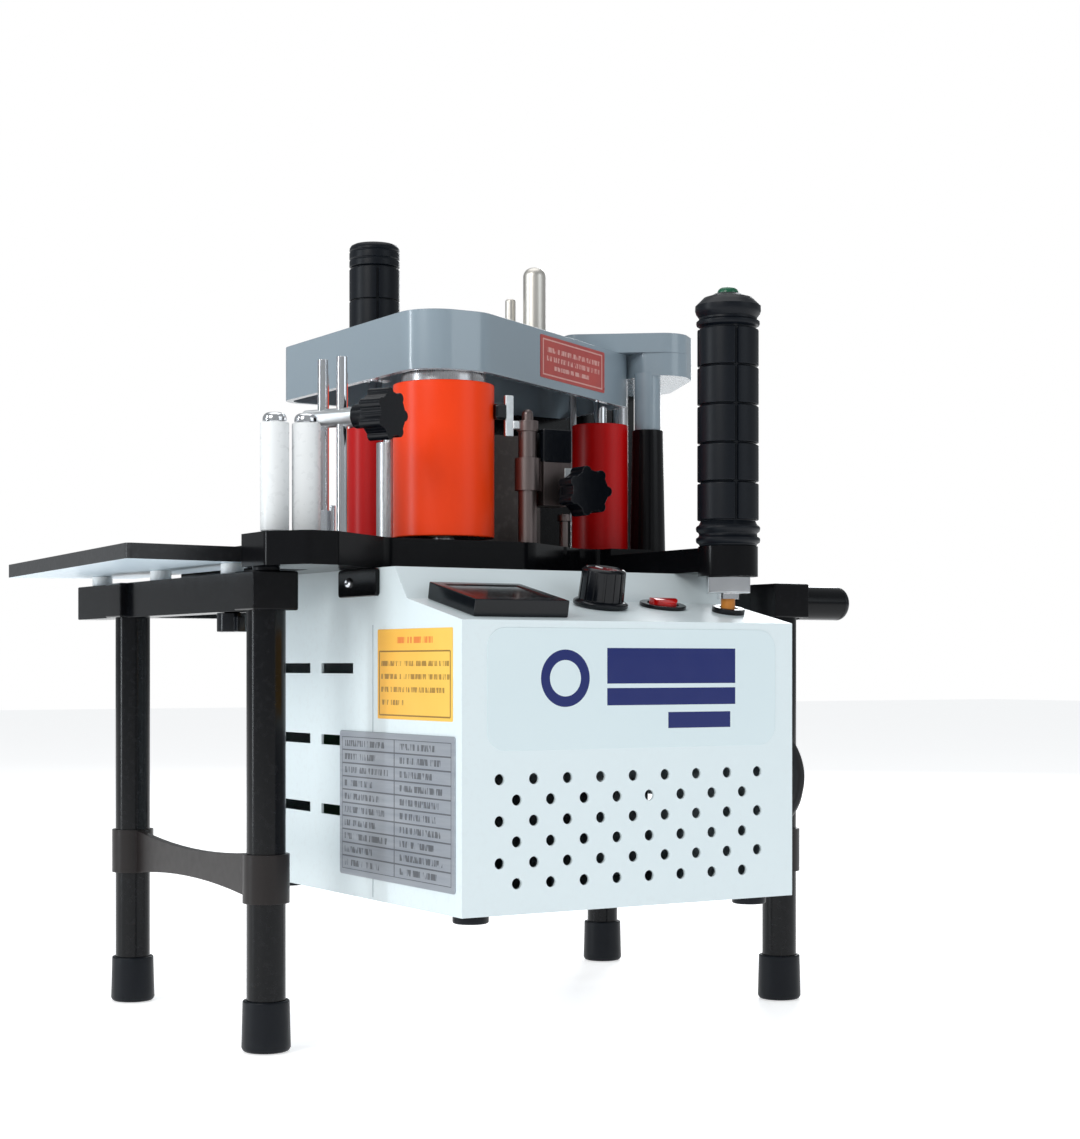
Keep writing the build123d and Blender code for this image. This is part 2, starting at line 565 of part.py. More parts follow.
def make_guides():
    rods = [rod(xy, POST_SINK, top, ROD_R) for xy, top in zip((ROD_A, ROD_B), ROD_TOP)]
    rods.append(rod(ROD_MID, POST_SINK, CLAMP_Z - CLAMP_R - CLAMP_DOWN - 1, PIN_R))
    x, y = ROD_A
    block_r = ROD_R + 1.8
    foot_block = box(x - block_r, x + block_r, y - block_r, y + block_r, PLATE_TOP, PLATE_TOP + 14)
    rods.append(foot_block - bore(ROD_A, ROD_R) - bore(ROD_B, ROD_R) - bore(ROD_MID, PIN_R))
    NODES["height_rods"] = Compound(rods)
    end = -ROD_GAP - CLAMP_END
    bar = rod_y(0, 0, end, CLAMP_TAIL, CLAMP_R)
    for y in (0, -ROD_GAP):
        bar -= rod((0, y), -20, 20, ROD_R + RUN_FIT)
    bar -= rod_y(0, 0, end - 1, end + 4.5, STUD_R + RUN_FIT)
    NODES["height_clamp"] = on_clamp(bar)
    stud = rod_y(0, 0, end - 3, end + 3.5, STUD_R)
    NODES["height_knob"] = on_clamp(Pos(0, end - 0.5, 0) * star_knob() + stud)
    post = rod(POST_XY, POST_SINK, PLATE_TOP + 2, POST_R - 1) + rod(POST_XY, PLATE_TOP, POST_TOP, POST_R)
    post += rod(POST_XY, POST_TOP, POST_TOP + 6, POST_R + 0.8)
    ball = rod(POST_XY, POST_TOP + 6, POST_TOP + 12.5, 3.2)
    post += fillet(ball.edges().sort_by(Axis.Z)[-1], 3.0)
    screw = rod(SCREW_XY, PLATE_Z + 5, PLATE_TOP + 15, 2.5)
    screw += rod(SCREW_XY, PLATE_TOP + 15, PLATE_TOP + 19, 3.6)
    NODES["side_post"] = Compound([post, screw])
    x, y = SIDE_XY
    low, high = SIDE_KNOB_Z - 7, SIDE_KNOB_Z + 35
    collar_r = POST_R + 1.9
    guide = rod(POST_XY, low + 8, low + 26, collar_r)
    guide += box(POST_XY[0], x, POST_XY[1] - 3, POST_XY[1] + 5, low + 8, low + 26)
    guide += box(x - 9, x + 9, y - 13, y + 5, low, high)
    guide -= bore(POST_XY, POST_R + RUN_FIT)
    guide -= rod_y(SIDE_KNOB_X, SIDE_KNOB_Z, y - 14, y - 3, 2.5 + RUN_FIT)
    NODES["side_guide"] = guide
    stud = rod_y(SIDE_KNOB_X, SIDE_KNOB_Z, y - 16, y - 4, 2.5)
    NODES["side_knob"] = Pos(SIDE_KNOB_X, y - 13.5, SIDE_KNOB_Z) * star_knob() + stud


def top_cover():
    outline = [(35.5, 292), (35.5, 110), (76, 109.5), (COVER_END_X, 203), (COVER_END_X, 292)]
    inner = [(x + dx * COVER_WALL, y + dy * COVER_WALL) for (x, y), (dx, dy) in zip(
        outline, ((1, -1), (1, 1), (-0.28, 1), (-1, 0.57), (-1, -1)))]
    roof = COVER_TOP - COVER_WALL
    body = slab(outline, [14, 22, 22, 6, 14], COVER_Z, COVER_TOP)
    body -= slab(inner, [10, 17.5, 17.5, 3, 10], COVER_Z - 1, roof)
    bosses = [(MAIN_XY, SHAFT_R + RUN_FIT), (PRESS_XY, AXLE_R), (REAR_XY, AXLE_R), (REAR_POST_XY, AXLE_R)]
    for xy, r in bosses:
        body += rod(xy, CORE_TOP + 2, roof + 1, r + 5)
        body -= rod(xy, COVER_Z, COVER_TOP - 8, r)
    for xy, r in TIE_RODS[1:]:
        body -= rod(xy, COVER_Z - 2, COVER_TOP - 8, r)
    return body


def rear_guard():
    """A folded black sheet that closes the back between the plate and the cover."""
    x0, x1, y = GUARD_X[0], GUARD_X[1], GUARD_Y
    body = box(x0, x1, y, y + GUARD_T, PLATE_TOP, COVER_Z)
    body += box(COVER_END_X + GUARD_GAP, x1, y, y + GUARD_T, COVER_Z, BRIDGE_SKIRT)
    return body + box(x0, x1, y, y + GUARD_FOOT, PLATE_TOP, PLATE_TOP + GUARD_T)


def make_top():
    NODES["rear_guard"] = rear_guard()
    NODES["top_cover"] = top_cover()
    outline = [(196, 214), (222, 194), (250, 172), (270, 190), (294, 248), (290, 290), (200, 290)]
    bridge = slab(outline, [6, 8, 16, 14, 12, 10, 8], COVER_TOP, BRIDGE_TOP)
    skirt = [(232, 188), (250, 172), (270, 190), (294, 248), (290, 290), (232, 290)]
    bridge += slab(skirt, [4, 16, 14, 12, 10, 2], BRIDGE_SKIRT, COVER_TOP + 1)
    bridge += rod(COLUMN_XY, COLUMN_NECK_Z, BRIDGE_SKIRT + 2, COLUMN_BOSS_R)
    bridge -= rod(COLUMN_XY, COLUMN_NECK_Z - 1, COLUMN_NECK_Z + 25, AXLE_R)
    bridge -= rod(TIE_RODS[0][0], BRIDGE_SKIRT - 1, BRIDGE_SKIRT + 8, TIE_RODS[0][1])
    NODES["top_bridge"] = bridge
    column = turned(COLUMN_XY, [
        (0, PLATE_TOP), (COLUMN_R + 1.5, PLATE_TOP), (COLUMN_R, COLUMN_NECK_Z), (AXLE_R, COLUMN_NECK_Z),
        (AXLE_R, COLUMN_NECK_Z + 25), (0, COLUMN_NECK_Z + 25)])
    NODES["bridge_column"] = column + rod(COLUMN_XY, POST_SINK, PLATE_TOP + 1, AXLE_R)
    post = rod(REAR_POST_XY, PLATE_TOP, CORE_TOP + 2, 8) + rod(REAR_POST_XY, POST_SINK, COVER_TOP - 8, AXLE_R)
    rods = [rod(TIE_RODS[0][0], POST_SINK, BRIDGE_SKIRT + 8, TIE_RODS[0][1])]
    rods += [rod(xy, POST_SINK, COVER_TOP - 8, r) for xy, r in TIE_RODS[1:]]
    NODES["cover_posts"] = Compound([post] + rods)
    spindle = rod(SPINDLE_XY, COVER_TOP, SPINDLE_TOP, SPINDLE_R)
    spindle = fillet(spindle.edges().sort_by(Axis.Z)[-1], SPINDLE_R - 1.2)
    pin = rod(LOCK_XY, COVER_TOP, LOCK_TOP, LOCK_R)
    NODES["tape_posts"] = Compound([spindle, fillet(pin.edges().sort_by(Axis.Z)[-1], 1.5)])


def grip(xy, low, hole_r, flared):
    """A rubber grip: collar rings, a grooved body and a flared or a plain rounded end."""
    r, top = GRIP_R, low + GRIP_LEN
    profile = [(hole_r, low), (r - 0.6, low), (r - 0.6, low + 1.5), (r + 0.8, low + 2.5), (r + 0.8, low + 4)]
    profile += [(r, low + 5), (r, low + 8), (r + 0.8, low + 9), (r + 0.8, low + 11), (r - 0.4, low + 13)]
    body_low, body_high = low + 13.5, top - (18.8 if flared else 5)
    pitch = (body_high - body_low) / 5
    for i in range(5):
        z = body_low + pitch * i
        profile += [(r, z + 0.5), (r, z + pitch - 1.8), (r - 1.6, z + pitch - 1.2), (r - 1.6, z + pitch - 0.4)]
    if flared:
        profile += [(r + 0.6, top - 17.3), (r + 0.6, top - 14.3), (r, top - 13.3), (r + 1.2, top - 9)]
        profile += [(r + 1.2, top - 6.5), (r - 3.6, top - 2), (BUTTON_R + 1, top), (hole_r, top)]
    else:
        profile += [(r, top - 5), (r, top - 3), (r - 3, top), (hole_r, top)]
    return turned(xy, profile)


def make_grips():
    NODES["front_grip"] = grip(GRIP_XY, BOSS_TOP, STEM_R, True)
    top = BOSS_TOP + GRIP_LEN
    stem = rod(GRIP_XY, BOSS_BOTTOM - NUT_T - 3, top - 9, STEM_R) - bore(GRIP_XY, STEM_R - 2)
    nut = extrude(Pos(*GRIP_XY, BOSS_BOTTOM - NUT_T) * RegularPolygon(NUT_R, 6), amount=NUT_T, dir=(0, 0, 1))
    NODES["stem_nuts"] = Compound([
        nut - bore(GRIP_XY, STEM_R),
        Pos(REAR_GRIP_XY[0] - GRIP_XY[0], REAR_GRIP_XY[1] - GRIP_XY[1], PLATE_Z - BOSS_BOTTOM) * (
            nut - bore(GRIP_XY, STEM_R))])
    NODES["switch_lead"] = tube(GRIP_XY, BOSS_BOTTOM - NUT_T - 14, top - 12, STEM_R - 2.2, 2)
    button = rod(GRIP_XY, top - 5, top + 3.4, BUTTON_R - 0.3)
    NODES["start_button"] = fillet(button.edges().sort_by(Axis.Z)[-1], 3)
    x, y = REAR_GRIP_XY
    rear_low = PLATE_TOP + REAR_POST_H
    NODES["rear_grip"] = grip(REAR_GRIP_XY, rear_low, STEM_R, False) + rod(
        REAR_GRIP_XY, rear_low + GRIP_LEN - 6, rear_low + GRIP_LEN, STEM_R + 1)
    post = rod(REAR_GRIP_XY, PLATE_Z - NUT_T - 3, rear_low + GRIP_LEN - 6, STEM_R)
    rear = post + rod(REAR_GRIP_XY, PLATE_TOP, rear_low, STEM_R + 4)
    NODES["grip_stems"] = Compound([stem, rear])


def make_cable(glands):
    """The heater lead leaves the housing's right wall, bows out and climbs to the plate."""
    route = CABLE_ROUTE
    radii = []
    for a, b, c in zip(route, route[1:], route[2:]):
        u, v = Vector(*b) - Vector(*a), Vector(*c) - Vector(*b)
        turn = math.radians(u.get_angle(v))
        radii.append(0.45 * min(u.length, v.length) / math.tan(turn / 2))
    print("lead bend radii", [round(r, 1) for r in radii])
    path = FilletPolyline(*route, radius=radii)
    start = Plane(origin=path @ 0, z_dir=path % 0)
    tube_body = sweep(start * Circle(CABLE_R), path=path)
    NODES["heater_lead"] = tube_body
    _, y, z = route[0]
    side = rod_x(y, z, BOX_W, BOX_W + 3, CABLE_R + 4) + rod_x(y, z, BOX_W - 4, BOX_W + 8, CABLE_R + 1.5)
    side -= rod_x(y, z, BOX_W - 5, BOX_W + 9, CABLE_R)
    x, y, z = route[-1]
    top = rod((x, y), z - 3, z, CABLE_R + 4) + rod((x, y), z - 8, z, CABLE_R + 1.5)
    top -= rod((x, y), z - 10, z + 1, CABLE_R)
    NODES["cable_glands"] = Compound(glands + [side, top])


make_stand()
make_board()
glands = []
make_housing(glands)
make_drive()
make_rollers()
make_guides()
make_top()
make_grips()
make_cable(glands)

boxes = [shape.bounding_box() for shape in NODES.values()]
CENTRE_X = (min(b.min.X for b in boxes) + max(b.max.X for b in boxes)) / 2
CENTRE_Y = (min(b.min.Y for b in boxes) + max(b.max.Y for b in boxes)) / 2
print(len(NODES), "nodes")
for name, shape in NODES.items():
    export_step(Pos(-CENTRE_X, -CENTRE_Y, 0) * shape, "parts/" + name + ".step")
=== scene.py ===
import json
import math

import bpy
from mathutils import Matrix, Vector

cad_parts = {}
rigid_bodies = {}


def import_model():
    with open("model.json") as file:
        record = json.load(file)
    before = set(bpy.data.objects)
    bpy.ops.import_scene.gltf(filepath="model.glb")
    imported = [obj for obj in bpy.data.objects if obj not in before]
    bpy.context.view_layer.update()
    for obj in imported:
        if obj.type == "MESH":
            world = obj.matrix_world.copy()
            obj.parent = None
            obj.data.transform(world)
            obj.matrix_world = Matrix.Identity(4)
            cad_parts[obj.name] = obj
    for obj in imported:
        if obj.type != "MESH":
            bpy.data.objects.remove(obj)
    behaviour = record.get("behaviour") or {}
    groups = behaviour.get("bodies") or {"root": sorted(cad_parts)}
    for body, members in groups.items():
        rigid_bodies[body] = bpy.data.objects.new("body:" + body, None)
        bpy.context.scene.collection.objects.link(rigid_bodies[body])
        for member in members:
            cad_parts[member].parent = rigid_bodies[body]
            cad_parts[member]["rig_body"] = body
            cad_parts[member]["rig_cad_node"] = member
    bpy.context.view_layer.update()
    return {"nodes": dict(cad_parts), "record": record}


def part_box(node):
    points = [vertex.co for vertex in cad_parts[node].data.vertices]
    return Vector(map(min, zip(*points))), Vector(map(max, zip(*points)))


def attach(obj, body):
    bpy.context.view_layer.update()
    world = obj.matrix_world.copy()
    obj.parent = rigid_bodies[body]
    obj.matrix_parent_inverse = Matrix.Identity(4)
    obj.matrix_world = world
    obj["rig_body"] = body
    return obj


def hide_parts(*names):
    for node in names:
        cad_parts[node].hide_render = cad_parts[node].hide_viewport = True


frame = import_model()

MM = 0.001
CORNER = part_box("housing_shell")[0]


def at(x, y, z):
    """A place in millimetres: x and y from the housing's front left corner, z from the floor."""
    return Vector((CORNER.x + x * MM, CORNER.y + y * MM, z * MM))


# ---------------------------------------------------------------- camera, light, floor

camera = bpy.data.objects.new("camera", bpy.data.cameras.new("camera"))
bpy.context.scene.collection.objects.link(camera)
camera.location = (-0.59474, -1.08397, 0.1967)
camera.rotation_euler = (math.radians(90), 0, -0.546)
camera.data.lens = 66.68
camera.data.shift_y = 0.0839
camera.data.clip_end = 50
bpy.context.scene.camera = camera


def softbox(name, place, aim, size, power, colour=(1, 1, 1)):
    lamp = bpy.data.lights.new(name, "AREA")
    lamp.shape = "RECTANGLE"
    lamp.size, lamp.size_y = size
    lamp.energy = power
    lamp.color = colour
    holder = bpy.data.objects.new(name, lamp)
    bpy.context.scene.collection.objects.link(holder)
    holder.location = place
    holder.rotation_euler = (Vector(aim) - Vector(place)).to_track_quat("-Z", "Y").to_euler()
    return holder


softbox("key_light", (-1.9, -0.9, 1.4), (0, 0, 0.25), (0.9, 1.1), 19, (1, 0.99, 0.97))
softbox("side_strip", (-1.9, 0.5, 0.7), (0, 0, 0.2), (0.14, 1.6), 11, (0.9, 0.96, 1))
softbox("fill_light", (1.2, -2.2, 1.1), (0, 0, 0.25), (1.3, 1.0), 6, (0.88, 0.95, 1))
softbox("top_light", (0.1, 0.3, 2.2), (0, 0, 0.2), (1.8, 1.8), 13)
softbox("rim_light", (1.6, 1.7, 1.2), (0, 0, 0.3), (0.5, 1.4), 12, (0.95, 0.98, 1))

bpy.ops.object.select_all(action="DESELECT")
bpy.ops.mesh.primitive_plane_add(size=16, location=(0, 0, -0.0004))
floor = bpy.context.object
floor.name = "studio_floor"

world = bpy.data.worlds.new("studio")
bpy.context.scene.world = world
world.use_nodes = True
air = world.node_tree
seen = air.nodes.new("ShaderNodeBackground")
seen.inputs["Color"].default_value = (1, 1, 1, 1)
seen.inputs["Strength"].default_value = 1.0
lit = air.nodes["Background"]
lit.inputs["Color"].default_value = (0.93, 0.97, 1, 1)
lit.inputs["Strength"].default_value = 0.36
ray = air.nodes.new("ShaderNodeLightPath")
mix = air.nodes.new("ShaderNodeMixShader")
air.links.new(ray.outputs["Is Camera Ray"], mix.inputs["Fac"])
air.links.new(lit.outputs["Background"], mix.inputs[1])
air.links.new(seen.outputs["Background"], mix.inputs[2])
air.links.new(mix.outputs["Shader"], air.nodes["World Output"].inputs["Surface"])
bpy.context.scene.view_settings.view_transform = "Standard"

# ---------------------------------------------------------------- finishes


class Finish:
    """A node material with small helpers to add the steps of a finish."""

    def __init__(self, name):
        self.material = bpy.data.materials.new(name)
        self.material.use_nodes = True
        self.tree = self.material.node_tree
        self.shader = self.tree.nodes["Principled BSDF"]
        self.place = self.add("ShaderNodeTexCoord").outputs["Object"]

    def add(self, kind, **values):
        node = self.tree.nodes.new(kind)
        for key, value in values.items():
            if hasattr(node, key):
                setattr(node, key, value)
            else:
                node.inputs[key.replace("_", " ")].default_value = value
        return node

    def link(self, a, b):
        self.tree.links.new(a, b)

    def stretched(self, scale):
        node = self.add("ShaderNodeMapping")
        node.inputs["Scale"].default_value = scale
        self.link(self.place, node.inputs["Vector"])
        return node.outputs["Vector"]

    def noise(self, scale, detail=3.0, rough=0.5, vector=None):
        node = self.add("ShaderNodeTexNoise", Scale=scale, Detail=detail, Roughness=rough)
        self.link(vector or self.place, node.inputs["Vector"])
        return node.outputs["Fac"]

    def remap(self, value, low, high, out_low, out_high):
        node = self.add("ShaderNodeMapRange")
        for key, number in (("From Min", low), ("From Max", high), ("To Min", out_low), ("To Max", out_high)):
            node.inputs[key].default_value = number
        self.link(value, node.inputs["Value"])
        return node.outputs["Result"]

    def sums(self, operation, a, b):
        node = self.add("ShaderNodeMath", operation=operation)
        for socket, value in zip(node.inputs, (a, b)):
            if isinstance(value, (int, float)):
                socket.default_value = value
            else:
                self.link(value, socket)
        return node.outputs["Value"]

    def blend(self, share, a, b):
        node = self.add("ShaderNodeMix", data_type="RGBA")
        self.link(share, node.inputs[0])
        for socket, value in zip(node.inputs[6:8], (a, b)):
            if isinstance(value, tuple):
                socket.default_value = (*value, 1)
            else:
                self.link(value, socket)
        return node.outputs[2]

    def colour(self, value):
        self.link(value, self.shader.inputs["Base Color"])

    def rough(self, value):
        self.link(value, self.shader.inputs["Roughness"])

    def bump(self, height, strength, distance):
        node = self.add("ShaderNodeBump")
        node.inputs["Strength"].default_value = strength
        node.inputs["Distance"].default_value = distance
        self.link(height, node.inputs["Height"])
        last = self.shader.inputs["Normal"].links
        if last:
            self.link(last[0].from_socket, node.inputs["Normal"])
        self.link(node.outputs["Normal"], self.shader.inputs["Normal"])

    def fixed(self, **values):
        for key, value in values.items():
            self.shader.inputs[key.replace("_", " ")].default_value = value


def coated(name, colour, shade, rough, grain, grain_depth, blotch=9.0, edge=None, metallic=0.0, **fixed):
    """Paint, plastic or metal: two close tones, uneven gloss, a fine grain and worn corners."""
    f = Finish(name)
    tone = f.blend(f.remap(f.noise(blotch, 1.0), 0.1, 0.9, 0, 1), colour, shade)
    if edge:
        worn, amount = edge
        corner = f.remap(f.add("ShaderNodeNewGeometry").outputs["Pointiness"], 0.53, 0.6, 0, amount * 0.6)
        chips = f.remap(f.noise(300.0, 4.0), 0.52, 0.66, 0, 1)
        tone = f.blend(f.sums("MULTIPLY", corner, chips), tone, worn)
    f.colour(tone)
    f.rough(f.remap(f.noise(blotch * 14, 3.0, 0.5), 0.2, 0.8, *rough))
    f.bump(f.noise(grain, 2.0), 0.25, grain_depth * MM)
    f.fixed(Metallic=metallic, **fixed)
    return f.material


def brushed(name, colour, shade, rough, along, depth=0.02, **fixed):
    """Machined metal with fine lines along one direction."""
    f = Finish(name)
    lines = f.noise(1.0, 6.0, 0.65, f.stretched(along))
    patches = f.noise(14.0, 3.0)
    f.colour(f.blend(f.remap(f.sums("ADD", lines, patches), 0.7, 1.3, 0, 1), colour, shade))
    f.rough(f.remap(lines, 0.3, 0.7, *rough))
    f.bump(lines, 0.4, depth * MM)
    f.fixed(Metallic=1.0, **fixed)
    return f.material


LOOKS = {
    "housing_white": coated(
        "white_powder_coat", (0.74, 0.83, 0.86), (0.72, 0.815, 0.845), (0.32, 0.38), 1500.0, 0.03, 7.0,
        ((0.62, 0.66, 0.68), 0.25)
    ),
    "zinc_sheet": brushed("zinc_sheet", (0.55, 0.57, 0.6), (0.4, 0.43, 0.47), (0.3, 0.5), (40, 900, 40)),
    "cover_grey": coated(
        "grey_enamel", (0.27, 0.335, 0.385), (0.255, 0.32, 0.37), (0.2, 0.26), 420.0, 0.03, 8.0,
        ((0.4, 0.45, 0.48), 0.2), Coat_Weight=0.4, Coat_Roughness=0.1
    ),
    "plate_black": coated(
        "black_gloss_enamel", (0.0025, 0.0028, 0.0035), (0.0035, 0.0035, 0.0045), (0.14, 0.18), 500.0,
        0.02, 12.0, ((0.03, 0.03, 0.035), 0.2), Specular_IOR_Level=0.2
    ),
    "stand_black": coated(
        "black_tube_paint", (0.0025, 0.003, 0.004), (0.0035, 0.004, 0.005), (0.16, 0.2), 650.0, 0.015,
        10.0, ((0.04, 0.04, 0.045), 0.15), Specular_IOR_Level=0.2
    ),
    "web_brown": coated(
        "brown_black_paint", (0.013, 0.0105, 0.0105), (0.017, 0.0135, 0.013), (0.3, 0.38), 500.0, 0.03,
        14.0, None, Specular_IOR_Level=0.25
    ),
    "rubber_black": coated(
        "grip_rubber", (0.003, 0.0045, 0.0075), (0.004, 0.006, 0.0095), (0.34, 0.42), 2200.0, 0.02, 20.0,
        None, Specular_IOR_Level=0.2
    ),
    "plastic_black": coated(
        "moulded_black", (0.0025, 0.0035, 0.0055), (0.0035, 0.0045, 0.007), (0.16, 0.22), 1800.0, 0.01,
        25.0, ((0.03, 0.035, 0.04), 0.2), Specular_IOR_Level=0.3
    ),
    "column_black": coated(
        "black_column_paint", (0.0025, 0.0025, 0.0035), (0.0035, 0.0035, 0.0045), (0.2, 0.26), 420.0,
        0.02, 10.0, None, Specular_IOR_Level=0.2
    ),
    "orange_rubber": coated(
        "orange_silicone", (1.0, 0.062, 0.004), (0.97, 0.05, 0.003), (0.3, 0.36), 1200.0, 0.004, 16.0,
        None, Specular_IOR_Level=0.3, Subsurface_Weight=0.06, Subsurface_Radius=(0.004, 0.001, 0.0005)
    ),
    "red_rubber": coated(
        "red_silicone", (0.56, 0.001, 0.002), (0.5, 0.001, 0.002), (0.3, 0.36), 1200.0, 0.004, 16.0, None,
        Specular_IOR_Level=0.25
    ),
    "steel": brushed("ground_steel", (0.6, 0.6, 0.61), (0.42, 0.43, 0.45), (0.2, 0.38), (700, 700, 20)),
    "chrome": brushed(
        "bright_chrome", (0.82, 0.83, 0.85), (0.68, 0.7, 0.73), (0.08, 0.16), (300, 300, 10), 0.004
    ),
    "aluminium": brushed(
        "bead_blasted_aluminium", (0.78, 0.8, 0.81), (0.62, 0.65, 0.67), (0.28, 0.42), (260, 30, 260)
    ),
    "bronze": brushed("bronze_bush", (0.5, 0.3, 0.12), (0.36, 0.2, 0.08), (0.25, 0.4), (500, 500, 30)),
    "nylon_white": coated(
        "white_nylon", (0.84, 0.86, 0.87), (0.8, 0.83, 0.84), (0.26, 0.3), 1200.0, 0.003, 20.0, None,
        Subsurface_Weight=0.1, Subsurface_Radius=(0.003, 0.003, 0.003)
    ),
    "glue_pot_brown": coated(
        "baked_pot_coat", (0.05, 0.035, 0.03), (0.035, 0.024, 0.02), (0.34, 0.44), 380.0, 0.08, 30.0,
        ((0.3, 0.27, 0.24), 0.2), 0.2
    ),
    "motor_grey": coated(
        "motor_enamel", (0.13, 0.14, 0.15), (0.11, 0.12, 0.13), (0.35, 0.5), 600.0, 0.06, 18.0
    ),
    "window_dark": coated(
        "smoked_window", (0.004, 0.002, 0.0025), (0.006, 0.003, 0.0035), (0.1, 0.14), 300.0, 0.005, 15.0,
        None, Specular_IOR_Level=0.3
    ),
    "rocker_red": coated(
        "red_lens", (0.66, 0.006, 0.006), (0.5, 0.003, 0.003), (0.1, 0.16), 700.0, 0.02, 40.0, None,
        Coat_Weight=0.8, Coat_Roughness=0.05
    ),
    "button_green": coated(
        "green_button", (0.006, 0.12, 0.055), (0.004, 0.1, 0.047), (0.2, 0.3), 900.0, 0.02, 40.0
    ),
    "board_black": coated(
        "black_laminate", (0.012, 0.013, 0.015), (0.018, 0.019, 0.021), (0.28, 0.36), 900.0, 0.06, 30.0,
        ((0.2, 0.23, 0.25), 0.3)
    ),
    "pcb": coated(
        "circuit_board", (0.01, 0.11, 0.04), (0.006, 0.07, 0.03), (0.3, 0.4), 800.0, 0.03, 60.0
    ),
    "supply_metal": brushed(
        "supply_case", (0.6, 0.61, 0.62), (0.45, 0.46, 0.48), (0.3, 0.45), (300, 30, 300)
    ),
    "cable_black": coated(
        "cable_sheath", (0.006, 0.006, 0.007), (0.009, 0.009, 0.01), (0.38, 0.46), 1600.0, 0.04, 40.0
    ),
}
AMBER = coated("amber_sleeve", (0.75, 0.3, 0.04), (0.62, 0.2, 0.02), (0.25, 0.35), 900.0, 0.03, 60.0)
PALE_SATIN = brushed(
    "pale_satin_rod", (0.74, 0.71, 0.66), (0.66, 0.63, 0.58), (0.34, 0.44), (300, 300, 12), 0.004
)
GUNMETAL = brushed(
    "gunmetal_rod", (0.20, 0.165, 0.16), (0.16, 0.13, 0.125), (0.34, 0.44), (400, 400, 12), 0.006
)
# painted light: a pale blue-white colour for the board's downward faces, standing in for floor light bouncing
# onto the black board's underside
BOARD_UNDERSIDE_PAINTED_LIGHT = coated("board_underside_painted_light", (0.62, 0.74, 0.82), (0.58, 0.7, 0.79), (0.3, 0.4), 900.0, 0.04, 30.0)
FLOOR = coated(
    "pale_floor", (0.9, 0.9, 0.9), (0.88, 0.88, 0.885), (0.5, 0.6), 60.0, 0.02, 2.0, None,
    Emission_Color=(1, 1, 1, 1), Emission_Strength=0.6
)
floor.data.materials.append(FLOOR)
SLOT_OF = {part["node"]: part["material_slot"] for part in frame["record"]["subparts"]}

# ---------------------------------------------------------------- printed and ruled faces


def band(f, value, centre, half):
    """1 where a coordinate is within half of centre."""
    node = f.add("ShaderNodeMath", operation="COMPARE")
    f.link(value, node.inputs[0])
    node.inputs[1].default_value, node.inputs[2].default_value = centre, half
    return node.outputs["Value"]


def between(f, value, low, high):
    return band(f, value, (low + high) / 2, abs(high - low) / 2)


def axes_of(f):
    split = f.add("ShaderNodeSeparateXYZ")
    f.link(f.place, split.inputs["Vector"])
    return split.outputs


def rows_of_marks(f, across, up, rows, fine, cover=0.47):
    """Rows of short dashes in place of words; each row is (middle, half height, start, end)."""
    spread = f.add("ShaderNodeMapping")
    spread.inputs["Scale"].default_value = fine
    f.link(f.place, spread.inputs["Vector"])
    dashes = f.remap(f.noise(1.0, 2.0, 0.7, spread.outputs["Vector"]), cover, cover + 0.06, 0, 1)
    total = None
    for middle, half, start, end in rows:
        row = f.sums("MULTIPLY", band(f, up, middle, half), between(f, across, start, end))
        total = row if total is None else f.sums("MAXIMUM", total, row)
    return f.sums("MULTIPLY", total, dashes)


def all_of(f, parts):
    total = parts[0]
    for part in parts[1:]:
        total = f.sums("MAXIMUM", total, part)
    return total


def notice_finish():
    """Yellow card: a heading strip, ruled frame and rows of plain marks, no words, with painted light making
    it lighter yellow at the front end and deeper orange at the back end.
    """
    f = Finish("yellow_notice_card")
    axes = axes_of(f)
    y, z = axes["Y"], axes["Z"]
    y0, y1 = at(0, 11, 0).y, at(0, 86.5, 0).y
    base = f.blend(f.remap(f.noise(30.0, 2.0), 0.3, 0.7, 0, 1), (0.93, 0.56, 0.085), (0.88, 0.49, 0.055))
    # painted light: the card runs from a lighter yellow at its front end to a deeper orange at its back end,
    # standing in for light falling across it
    painted_light_falloff = f.blend(f.remap(y, y0, y1, 0, 1), (0.95, 0.62, 0.14), (0.9, 0.42, 0.04))
    base = f.blend(f.remap(f.noise(9.0, 1.0), 0.0, 1.0, 0.35, 0.65), base, painted_light_falloff)
    head = rows_of_marks(f, y, z, [(0.2093, 0.0016, at(0, 29, 0).y, at(0, 68, 0).y)], (1, 420, 30), 0.42)
    lines = [(0.1975 - 0.0066 * i, 0.0013, y0 + 0.004 * i * (i > 2) + 0.006 * (i == 2), y1 - 0.002)
             for i in range(3)] + [(0.1777, 0.0013, at(0, 60, 0).y, y1 - 0.002)]
    text = rows_of_marks(f, y, z, lines, (1, 520, 60), 0.46)
    inside = between(f, y, y0, y1)
    ruled = [f.sums("MULTIPLY", band(f, z, level, 0.0004), inside) for level in (0.2037, 0.1712)]
    tall = between(f, z, 0.1712, 0.2037)
    ruled += [f.sums("MULTIPLY", band(f, y, side, 0.0005), tall) for side in (y0, y1)]
    ink = f.blend(f.sums("MULTIPLY", text, 0.7), base, (0.12, 0.06, 0.01))
    ink = f.blend(f.sums("MULTIPLY", all_of(f, ruled), 0.75), ink, (0.1, 0.055, 0.01))
    f.colour(f.blend(f.sums("MULTIPLY", head, 0.7), ink, (0.75, 0.1, 0.02)))
    f.rough(f.remap(f.noise(60.0, 3.0), 0.3, 0.7, 0.28, 0.4))
    f.bump(f.noise(700.0, 2.0), 0.2, 0.02 * MM)
    return f.material


